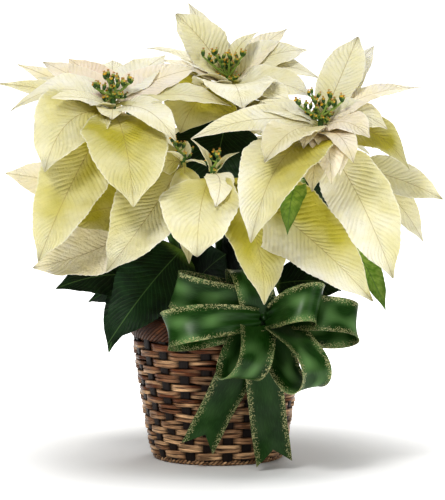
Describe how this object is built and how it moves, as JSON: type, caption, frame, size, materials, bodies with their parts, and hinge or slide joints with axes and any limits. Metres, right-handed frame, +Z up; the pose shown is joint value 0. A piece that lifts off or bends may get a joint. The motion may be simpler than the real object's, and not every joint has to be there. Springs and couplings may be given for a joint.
{
  "type": "potted poinsettia in a basket",
  "caption": "Cream-white poinsettia with layered bracts on forked stems, in a liner pot inside a round woven reed basket with a green satin ribbon bow.",
  "frame": {"origin": "centre of the basket's underside, on the surface that it stands on", "axes": "+Z up; -Y is the front, where the bow is; +X to the right seen from the front"},
  "size_m": [0.4717, 0.3965, 0.479],
  "materials": {
    "cream_bract": "soft waxy petal, thin and slightly translucent",
    "green_leaf": "dark green, satin, with paler veins",
    "cyathia": "green cups with yellow and orange glands",
    "wall_reed": "flat woven reed, tan to dark brown, semi-gloss",
    "border_reed": "dark brown rolled reed border, semi-gloss",
    "pot_plastic": "thin dark grower's pot",
    "potting_soil": "dark crumbly peat",
    "satin_ribbon": "green satin with gold glitter edges",
    "wire": "green coated floral wire"
  },
  "bodies": {
    "root": {"basket_base": "border_reed", "basket_wall": "wall_reed", "basket_rim": "border_reed", "liner_pot": "pot_plastic", "soil": "potting_soil", "stem_left": "green_leaf", "stem_middle": "green_leaf", "stem_right": "green_leaf", "bracts_A": "cream_bract", "cyathia_A": "cyathia", "bracts_B": "cream_bract", "cyathia_B": "cyathia", "bracts_C": "cream_bract", "cyathia_C": "cyathia", "bracts_D": "cream_bract", "cyathia_D": "cyathia", "bracts_E": "cream_bract", "cyathia_E": "cyathia", "bracts_H": "cream_bract", "cyathia_H": "cyathia", "bracts_R": "cream_bract", "cyathia_R": "cyathia", "bracts_K1": "cream_bract", "cyathia_K1": "cyathia", "bracts_K2": "cream_bract", "cyathia_K2": "cyathia", "bracts_K3": "cream_bract", "cyathia_K3": "cyathia", "bow": "satin_ribbon", "bow_pick": "wire"}
  },
  "joints": []
}
